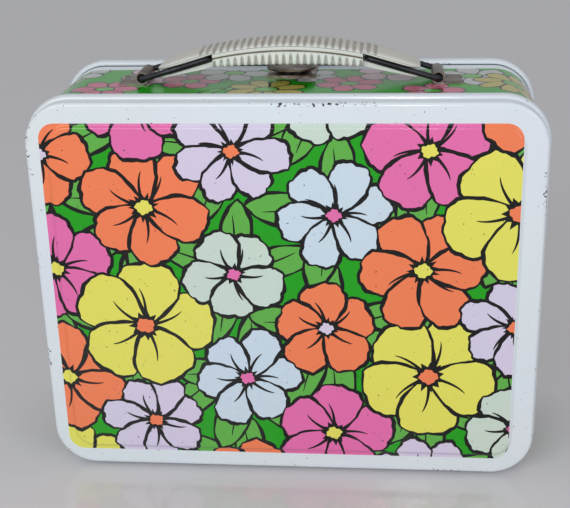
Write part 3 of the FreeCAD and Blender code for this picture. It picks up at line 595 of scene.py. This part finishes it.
band_ends = [(-HALF_ROUND, BAND_NEAR), (HALF_ROUND, BAND_NEAR), (HALF_ROUND, BAND_FAR)]
notch_runs = [HALF_ROUND - HINGE_X + NOTCH_HALF, HALF_ROUND - HINGE_X - NOTCH_HALF]
notch = [(notch_runs[0], BAND_FAR), (notch_runs[0], RIM_NEAR),
         (notch_runs[1], RIM_NEAR), (notch_runs[1], BAND_FAR)]
band_border = band_ends + notch + [(-x, y) for x, y in reversed(notch)] + [(-HALF_ROUND, BAND_FAR)]
bend_runs = [start + BEND_LENGTH * step / CORNER_STEPS
             for start in (FLAT_W, FLAT_W + BEND_LENGTH + 2 * FLAT_H)
             for step in range(CORNER_STEPS + 1)]
lip_run = FLAT_W + BEND_LENGTH + FLAT_H - (LIP_LOWEST - MIDDLE_Z)
band_creases = [[(side * run, BAND_NEAR), (side * run, BAND_FAR)] for run in bend_runs for side in (-1, 1)]
print_strip = [(-HALF_ROUND, PRINT_NEAR), (HALF_ROUND, PRINT_NEAR),
               (HALF_ROUND, PRINT_FAR), (-HALF_ROUND, PRINT_FAR)]
# The white flowers on the band get a grey ink: painted shade of the band's top, which no lamp faces.
INKS.update(rouge=tint(198, 98, 128), stone=tint(186, 190, 190), olive=tint(182, 172, 84),
            blush=tint(206, 178, 190))
flat, triangles, band_inks = print_sheet(
    band_print, band_border, print_strip, "green", "white", band_creases)


def on_band(along, across, inset):
    x, z = place_on_band(along, inset)
    return (x * MM, across * MM, (z + MIDDLE_Z) * MM)


vertices = [on_band(along, across, BAND_INSET) for along, across in flat]
faces = [list(face) for face in triangles]
stops = sorted({side * run for side in (-1, 1) for run in (*bend_runs, *notch_runs, lip_run, HALF_ROUND)})
INNER = BAND_INSET + SHEET
for start, end in zip(stops, stops[1:]):
    middle = abs(start + end) / 2
    on_notch = notch_runs[1] < middle < notch_runs[0]
    walls = [[(INNER, RIM_NEAR), (INNER, BAND_NEAR), (BAND_INSET, BAND_NEAR)]]
    if on_notch:
        walls.append([(BAND_INSET, RIM_NEAR), (INNER, RIM_NEAR)])
    else:
        lip = [(LIP_INSET, LIP_FAR), (LIP_INSET + SHEET, LIP_FAR)] if middle < lip_run else []
        walls.append([(BAND_INSET, BAND_FAR), (LIP_INSET, BAND_FAR), *lip, (LIP_INSET + SHEET, BAND_FAR),
                      (LIP_INSET + SHEET, RIM_NEAR), (INNER, RIM_NEAR)])
    for wall in walls:
        for (inset, across), (next_inset, next_across) in zip(wall, wall[1:]):
            first = len(vertices)
            vertices += [on_band(start, across, inset), on_band(end, across, inset),
                         on_band(end, next_across, next_inset), on_band(start, next_across, next_inset)]
            faces.append([first, first + 1, first + 2, first + 3])
rim_end = [(BAND_INSET, RIM_NEAR), (BAND_INSET, BAND_FAR), (LIP_INSET, BAND_FAR),
           (LIP_INSET + SHEET, BAND_FAR), (LIP_INSET + SHEET, RIM_NEAR), (INNER, RIM_NEAR)]
lip_end = [(LIP_INSET, BAND_FAR), (LIP_INSET, LIP_FAR),
           (LIP_INSET + SHEET, LIP_FAR), (LIP_INSET + SHEET, BAND_FAR)]
for side in (-1, 1):
    for run, section in ((notch_runs[0], rim_end), (notch_runs[1], rim_end), (lip_run, lip_end)):
        first = len(vertices)
        vertices += [on_band(side * run, across, inset) for inset, across in section]
        faces.append(list(range(first, len(vertices))))
band_inks += ["white"] * (len(faces) - len(band_inks))
rubs = [0.0] * len(vertices)
band = finish_mesh("side_band_printed", vertices, faces, band_inks, rubs, printed_enamel)
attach(band, "box")
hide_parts("side_band")

# ==== Steel and wire =============================================================================
# Hinges, rivets, latch and handle straps are plated mild steel gone dull and brownish over the years; the
# latch's dark brown is partly a painted reflection of the grip above it. The handle's wires are dark. Each
# keeps its pressed shape and gets its own tone, scratches and tarnish.


def tarnish_group():
    """Node group: cloudy tarnish, brown spots and fine scratches over a metal's colour."""
    group = bpy.data.node_groups.new("metal_tarnish", "ShaderNodeTree")
    face = group.interface
    for name, kind, value in (("Metal", "NodeSocketColor", (0.5, 0.5, 0.5, 1)),
                              ("Tarnish", "NodeSocketColor", (0.1, 0.08, 0.06, 1)),
                              ("Amount", "NodeSocketFloat", 0.5), ("Gloss", "NodeSocketFloat", 0.25)):
        face.new_socket(name=name, in_out="INPUT", socket_type=kind).default_value = value
    for name, kind in (("Colour", "NodeSocketColor"), ("Roughness", "NodeSocketFloat"),
                       ("Height", "NodeSocketFloat")):
        face.new_socket(name=name, in_out="OUTPUT", socket_type=kind)
    nodes, link = group.nodes, group.links.new
    entry, leave = nodes.new("NodeGroupInput"), nodes.new("NodeGroupOutput")
    place = nodes.new("ShaderNodeTexCoord")
    clouds, spots, scratches = (nodes.new("ShaderNodeTexNoise") for _ in range(3))
    for node, scale, detail in ((clouds, 120, 5), (spots, 520, 2), (scratches, 160, 3)):
        node.inputs["Scale"].default_value = scale
        node.inputs["Detail"].default_value = detail
    stretch = nodes.new("ShaderNodeMapping")
    stretch.inputs["Scale"].default_value = (0.4, 9.0, 4.0)
    link(place.outputs["Object"], stretch.inputs["Vector"])
    link(stretch.outputs["Vector"], scratches.inputs["Vector"])
    link(place.outputs["Object"], clouds.inputs["Vector"])
    link(place.outputs["Object"], spots.inputs["Vector"])
    blotch = nodes.new("ShaderNodeMapRange")
    blotch.inputs["From Min"].default_value, blotch.inputs["From Max"].default_value = 0.36, 0.66
    link(clouds.outputs["Fac"], blotch.inputs["Value"])
    pit = nodes.new("ShaderNodeMapRange")
    pit.inputs["From Min"].default_value, pit.inputs["From Max"].default_value = 0.62, 0.68
    link(spots.outputs["Fac"], pit.inputs["Value"])
    both, share = nodes.new("ShaderNodeMath"), nodes.new("ShaderNodeMath")
    both.operation, share.operation = "MAXIMUM", "MULTIPLY"
    link(blotch.outputs["Result"], both.inputs[0])
    link(pit.outputs["Result"], both.inputs[1])
    link(both.outputs[0], share.inputs[0])
    link(entry.outputs["Amount"], share.inputs[1])
    mix = nodes.new("ShaderNodeMix")
    mix.data_type = "RGBA"
    link(share.outputs[0], mix.inputs["Factor"])
    link(entry.outputs["Metal"], mix.inputs[6])
    link(entry.outputs["Tarnish"], mix.inputs[7])
    link(mix.outputs[2], leave.inputs["Colour"])
    dull, gloss = nodes.new("ShaderNodeMath"), nodes.new("ShaderNodeMath")
    dull.operation, gloss.operation = "MULTIPLY_ADD", "MULTIPLY_ADD"
    link(share.outputs[0], dull.inputs[0])
    dull.inputs[1].default_value = 0.3
    link(entry.outputs["Gloss"], dull.inputs[2])
    link(scratches.outputs["Fac"], gloss.inputs[0])
    gloss.inputs[1].default_value = 0.12
    link(dull.outputs[0], gloss.inputs[2])
    link(gloss.outputs[0], leave.inputs["Roughness"])
    link(scratches.outputs["Fac"], leave.inputs["Height"])
    return group


metal_tarnish = tarnish_group()


def steel(name, metal, spoiled, amount, gloss, metallic=1.0):
    """A plated steel with its own tone and state."""
    paint = bpy.data.materials.new(name)
    paint.use_nodes = True
    nodes, link = paint.node_tree.nodes, paint.node_tree.links.new
    surface = nodes["Principled BSDF"]
    surface.inputs["Metallic"].default_value = metallic
    state = nodes.new("ShaderNodeGroup")
    state.node_tree = metal_tarnish
    for socket, value in (("Metal", metal), ("Tarnish", spoiled), ("Amount", amount), ("Gloss", gloss)):
        state.inputs[socket].default_value = value
    link(state.outputs["Colour"], surface.inputs["Base Color"])
    link(state.outputs["Roughness"], surface.inputs["Roughness"])
    bump = nodes.new("ShaderNodeBump")
    bump.inputs["Strength"].default_value = 0.3
    bump.inputs["Distance"].default_value = 0.00006
    link(state.outputs["Height"], bump.inputs["Height"])
    link(bump.outputs["Normal"], surface.inputs["Normal"])
    return paint


hinge_steel = steel("hinge_steel", tint(176, 174, 168), tint(96, 84, 72), 0.6, 0.3)
strap_steel = steel("strap_steel", tint(150, 144, 136), tint(88, 76, 66), 0.55, 0.34)
# The latch's dark brown is partly tarnish and partly a painted reflection of the grip's brown underside
# above it.
latch_steel = steel("latch_steel", tint(150, 138, 126), tint(74, 58, 46), 0.8, 0.24)
rivet_steel = steel("rivet_steel", tint(196, 194, 188), tint(110, 96, 80), 0.4, 0.22)
spring_steel = steel("spring_steel", tint(160, 160, 162), tint(90, 80, 70), 0.3, 0.3)
handle_wire = steel("handle_wire", tint(58, 60, 66), tint(26, 26, 30), 0.6, 0.3, metallic=0.75)
bail_wire = steel("bail_wire", tint(184, 184, 184), tint(110, 100, 88), 0.35, 0.22)
METAL_OF = (("hinge_knuckle", hinge_steel), ("hinge_leaf", hinge_steel), ("hinge_pin", rivet_steel),
            ("rivet", rivet_steel), ("spring", spring_steel), ("latch_pin", rivet_steel),
            ("latch", latch_steel), ("bail_clip", strap_steel), ("clip", strap_steel),
             ("bracket", strap_steel),
            ("bail", bail_wire), ("wire", handle_wire), ("hinge", hinge_steel))
for name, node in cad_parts.items():
    metal = next((metal for word, metal in METAL_OF if word in name), None)
    if metal:
        node.data.materials.clear()
        node.data.materials.append(metal)

# ==== Carrying grip ==============================================================================
# Two moulded plastic shells snapped together round the ends of the wires. Ribs run across the top of the
# upper one and up both sides of the lower one; their grooves are darkened with dirt and painted shade.
BASE_Z = 2 * MIDDLE_Z - PROUD
GRIP_TOP = cad_high.z / MM - BASE_Z
RIB_PITCH, RIBBED_HALF = 3.07, 39.9
UPPER_HALF, LOWER_HALF, TONGUE_HALF = 11.5, 11.0, 8.0
GRIP_END, GRIP_FALL, SLOT_IN = 58.0, 10.9, 33.0
WIRE_END_X, WIRE_END_RISE, WIRE_ANGLE = 35.1, 11.29, math.radians(16.5)
CROWN_RADIUS = (GRIP_END ** 2 + GRIP_FALL ** 2) / (2 * GRIP_FALL)


def crown(x):
    return GRIP_TOP - CROWN_RADIUS + math.sqrt(CROWN_RADIUS ** 2 - x * x)


def wire_line(x):
    """Height of the middle of the window that the wire lies in."""
    return WIRE_END_RISE - math.tan(WIRE_ANGLE) * (abs(x) - WIRE_END_X)


def smooth(value, low, high):
    share = min(max((value - low) / (high - low), 0), 1)
    return share * share * (3 - 2 * share)


def plastic(name):
    """Cream moulded plastic, tan on the crown as a painted reflection of the grey room and tan in the gap
    between the shells as painted shade; darker with dirt and painted shade where the mesh says.
    """
    paint = bpy.data.materials.new(name)
    paint.use_nodes = True
    nodes, link = paint.node_tree.nodes, paint.node_tree.links.new
    surface = nodes["Principled BSDF"]
    dirt_and_painted_shade = nodes.new("ShaderNodeAttribute")
    dirt_and_painted_shade.attribute_name = "dirt_and_painted_shade"
    painted_reflection_and_shade = nodes.new("ShaderNodeAttribute")
    painted_reflection_and_shade.attribute_name = "painted_reflection_and_shade"
    place = nodes.new("ShaderNodeTexCoord")
    cloud = nodes.new("ShaderNodeTexNoise")
    cloud.inputs["Scale"].default_value = 130
    cloud.inputs["Detail"].default_value = 5
    link(place.outputs["Object"], cloud.inputs["Vector"])
    # Painted reflection and shade: the crown of the upper shell turns tan as the grey room it reflects, and
    # the gap between the shells turns tan as painted shade.
    reflection_and_shade_mix = nodes.new("ShaderNodeMix")
    reflection_and_shade_mix.data_type = "RGBA"
    reflection_and_shade_mix.inputs[6].default_value = tint(226, 230, 226)
    reflection_and_shade_mix.inputs[7].default_value = tint(176, 166, 150)
    link(painted_reflection_and_shade.outputs["Fac"], reflection_and_shade_mix.inputs["Factor"])
    patch = nodes.new("ShaderNodeMath")
    patch.operation = "MULTIPLY"
    spread = nodes.new("ShaderNodeMapRange")
    spread.inputs["From Min"].default_value, spread.inputs["From Max"].default_value = 0.25, 0.6
    spread.inputs["To Min"].default_value = 0.45
    link(cloud.outputs["Fac"], spread.inputs["Value"])
    link(spread.outputs["Result"], patch.inputs[0])
    link(dirt_and_painted_shade.outputs["Fac"], patch.inputs[1])
    # Dirt and painted shade: the grooves between the ribs and the gap between the shells darken to brown.
    dirt_and_shade_mix = nodes.new("ShaderNodeMix")
    dirt_and_shade_mix.data_type = "RGBA"
    dirt_and_shade_mix.inputs[7].default_value = tint(104, 92, 70)
    link(patch.outputs[0], dirt_and_shade_mix.inputs["Factor"])
    link(reflection_and_shade_mix.outputs[2], dirt_and_shade_mix.inputs[6])
    link(dirt_and_shade_mix.outputs[2], surface.inputs["Base Color"])
    shine = nodes.new("ShaderNodeMapRange")
    shine.inputs["To Min"].default_value, shine.inputs["To Max"].default_value = 0.22, 0.42
    link(cloud.outputs["Fac"], shine.inputs["Value"])
    link(shine.outputs["Result"], surface.inputs["Roughness"])
    grain = nodes.new("ShaderNodeTexNoise")
    grain.inputs["Scale"].default_value = 900
    link(place.outputs["Object"], grain.inputs["Vector"])
    bump = nodes.new("ShaderNodeBump")
    bump.inputs["Strength"].default_value = 0.2
    bump.inputs["Distance"].default_value = 0.00005
    link(grain.outputs["Fac"], bump.inputs["Height"])
    link(bump.outputs["Normal"], surface.inputs["Normal"])
    surface.inputs["Subsurface Weight"].default_value = 0.05
    surface.inputs["Subsurface Scale"].default_value = 0.002
    return paint


grip_plastic = plastic("grip_plastic")


def loft_shell(name, stations, section):
    """A closed shell through cross-sections: section(x) lists (y, height, dirt and painted shade,
    painted reflection and shade) round it.
    """
    rings = [section(x) for x in stations]
    size = len(rings[0])
    vertices = [(x * MM, y * MM, (BASE_Z + z) * MM)
                for x, ring in zip(stations, rings) for y, z, _, _ in ring]
    faces = [[row * size + spot, row * size + (spot + 1) % size,
              (row + 1) * size + (spot + 1) % size, (row + 1) * size + spot]
             for row in range(len(rings) - 1) for spot in range(size)]
    faces += [list(range(size)), list(range(len(vertices) - size, len(vertices)))]
    mesh = bpy.data.meshes.new(name)
    mesh.from_pydata(vertices, [], faces)
    for layer, column in (("dirt_and_painted_shade", 2), ("painted_reflection_and_shade", 3)):
        values = [spot[column] for ring in rings for spot in ring]
        mesh.attributes.new(layer, "FLOAT", "POINT").data.foreach_set("value", values)
    piece = bpy.data.objects.new(name, mesh)
    bpy.context.collection.objects.link(piece)
    mesh.materials.append(grip_plastic)
    bpy.ops.object.select_all(action="DESELECT")
    piece.select_set(True)
    bpy.context.view_layer.objects.active = piece
    bpy.ops.object.mode_set(mode="EDIT")
    bpy.ops.mesh.select_all(action="SELECT")
    bpy.ops.mesh.remove_doubles(threshold=0.000004)
    bpy.ops.mesh.normals_make_consistent(inside=False)
    bpy.ops.object.mode_set(mode="OBJECT")
    bpy.ops.object.shade_smooth_by_angle(angle=math.radians(35))
    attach(piece, "grip")
    return piece


def gap_between_ribs(x, width):
    """1 in the middle of a groove and 0 on a rib, for grooves of a given width."""
    if width <= 0 or abs(x) > RIBBED_HALF:
        return 0.0
    off = abs((x / RIB_PITCH) % 1 - 0.5) * RIB_PITCH
    return 1 - smooth(off, width * 0.22, width * 0.62)


def upper_section(x):
    """The upper shell: a low ribbed dome above a smooth strip, with a step in under it."""
    nose = math.sqrt(max(1 - max(abs(x) - GRIP_END + 9, 0) ** 2 / 82, 0.04))
    half = UPPER_HALF * (0.6 + 0.4 * nose)
    top = crown(x) - 1.2 * (1 - nose)
    windowed = abs(x) > SLOT_IN
    foot = wire_line(x) + 1.7 + 0.4 * (1 - nose) if windowed else crown(x) - 3.8
    dome = min(2.0, (top - foot) * 0.6)
    half_ring = []
    # The last column is painted reflection: tan on the crown of the dome, none at its edge.
    for reach, drop, sink, opening, painted_reflection_and_shade in (
            (0.0, 0.0, 1, 1.7, 0.6), (0.3, 0.06, 1, 1.7, 0.6), (0.55, 0.22, 1, 1.7, 0.6),
            (0.72, 0.4, 1, 1.7, 0.55),
            (0.84, 0.56, 1, 1.6, 0.3), (0.93, 0.72, 1, 1.5, 0.25), (0.98, 0.86, 1, 1.3, 0.1),
            (1.0, 0.97, 0.9, 0.9, 0)):
        # The grooves between the ribs are darkened: dirt and painted shade.
        groove = sink * gap_between_ribs(x, opening) * 0.75
        out = reach ** 3
        half_ring.append((half * reach - out * groove, top - dome * drop - (1 - out) * groove,
                          min(groove * 0.8, 1), painted_reflection_and_shade))
    seam = top - dome
    strip = max(foot + 0.25, seam - 0.3)
    half_ring += [(half, seam - 0.02, 0.1, 0), (half - 0.3, seam - 0.05, 0.7, 0.2),
                  (half - 0.3, seam - 0.17, 0.7, 0.2),
                  (half + 0.12, strip, 0, 0.08), (half + 0.12, foot + 0.25, 0.05, 0.2),
                  (half - 0.1, foot, 0.3, 0.5)]
    # In the gap under the step and in the wire's window, the dark and the tan are painted shade.
    if not windowed:
        half_ring += [(half - 1.2, foot - 0.05, 0.9, 1), (half - 1.2, crown(x) - 4.7, 0.9, 1)]
    else:
        half_ring += [(half - 1.2, foot - 0.01, 0.5, 1), (half - 1.6, foot, 0.5, 1)]
    return half_ring[::-1] + [(-y, z, dirt_and_painted_shade, painted_reflection_and_shade) for y, z, dirt_and_painted_shade, painted_reflection_and_shade in half_ring[1:]]


def lower_section(x):
    """The lower shell: a plain upper edge, then sides with grooves that open towards the bottom."""
    top, half = crown(x) - 4.5, LOWER_HALF
    bottom = 8.6 - 1.1 * (x / 32) ** 2
    tall = top - bottom
    half_ring = [(0, bottom, 0, 0)]
    for reach, height, sink, opening in (
            (half - 3.2, 0.0, 1, 1.9), (half - 1.2, 0.1, 1, 1.9), (half - 0.35, 0.35, 1, 1.8),
            (half, 0.9, 1, 1.7),
            (half, 0.35 * tall, 1, 1.5), (half, 0.55 * tall, 0.9, 1.2), (half, 0.74 * tall, 0.6, 0.8),
            (half, 0.85 * tall, 0.2, 0.4)):
        # The grooves between the ribs are darkened: dirt and painted shade.
        groove = sink * gap_between_ribs(x, opening) * 1.2 if abs(x) < SLOT_IN else 0
        height = min(height, tall * 0.8) if height < 1 else height
        half_ring.append((reach - groove, bottom + height, min(groove, 1) * 0.5, 0))
    # The top edge lies in the gap under the upper shell; its dark and tan are painted shade.
    half_ring += [(half, top - 0.35, 0, 0), (half - 0.25, top - 0.1, 0, 0), (half - 1.4, top, 0.7, 0.8)]
    return half_ring[::-1] + [(-y, z, dirt_and_painted_shade, painted_reflection_and_shade) for y, z, dirt_and_painted_shade, painted_reflection_and_shade in half_ring[1:]]


rib_steps = 12
ribbed = [step * RIB_PITCH / rib_steps for step in range(-13 * rib_steps, 13 * rib_steps + 1)]
ends = [SLOT_IN - 0.02, SLOT_IN + 0.02] + [40.3 + step for step in range(0, 9, 2)] + \
    [GRIP_END - 9 * (1 - math.sin(math.radians(turn))) for turn in (0, 20, 40, 55, 68, 78, 90)]
ends = sorted(set(ends))
upper_stations = sorted(set(ribbed + [side * x for x in ends for side in (-1, 1)]))
upper = loft_shell("grip_upper_ribbed", upper_stations, upper_section)
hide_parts("grip_upper")
middle_stations = [x for x in ribbed if abs(x) <= SLOT_IN]
middle_stations = [-SLOT_IN] + middle_stations + [SLOT_IN]
lower = loft_shell("grip_lower_ribbed", middle_stations, lower_section)
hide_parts("grip_lower")

tongue_side = [(SLOT_IN - 2, crown(SLOT_IN - 2) - 4.8), (SLOT_IN - 2, 7.8), (36.7, 6.7), (37.0, 6.35),
               (56.0, 2.5),
               (57.0, 2.8), (57.3, 3.7), (57.1, wire_line(57.1) + 1.4), (53.4, wire_line(53.4) + 1.4),
               (53.4, wire_line(53.4) - 2), (SLOT_IN + 0.2, wire_line(SLOT_IN + 0.2) - 2)]
for side, name in ((-1, "left"), (1, "right")):
    count = len(tongue_side)
    vertices = [(side * x * MM, y * MM, (BASE_Z + z) * MM) for y in (-TONGUE_HALF - 0.4, TONGUE_HALF + 0.4)
                for x, z in tongue_side]
    faces = [list(range(count)), list(range(count, 2 * count))]
    faces += [[index, (index + 1) % count, count + (index + 1) % count, count + index]
              for index in range(count)]
    mesh = bpy.data.meshes.new("grip_tongue_" + name)
    mesh.from_pydata(vertices, [], faces)
    tongue = bpy.data.objects.new(mesh.name, mesh)
    bpy.context.collection.objects.link(tongue)
    mesh.materials.append(grip_plastic)
    bpy.ops.object.select_all(action="DESELECT")
    tongue.select_set(True)
    bpy.context.view_layer.objects.active = tongue
    bpy.ops.object.mode_set(mode="EDIT")
    bpy.ops.mesh.select_all(action="SELECT")
    bpy.ops.mesh.normals_make_consistent(inside=False)
    bpy.ops.object.mode_set(mode="OBJECT")
    rounding = tongue.modifiers.new("rounding", "BEVEL")
    rounding.width, rounding.segments, rounding.angle_limit = 0.45 * MM, 3, math.radians(25)
    bpy.ops.object.modifier_apply(modifier="rounding")
    bpy.ops.object.shade_smooth_by_angle(angle=math.radians(35))
    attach(tongue, "grip")
    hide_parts("grip_lower")
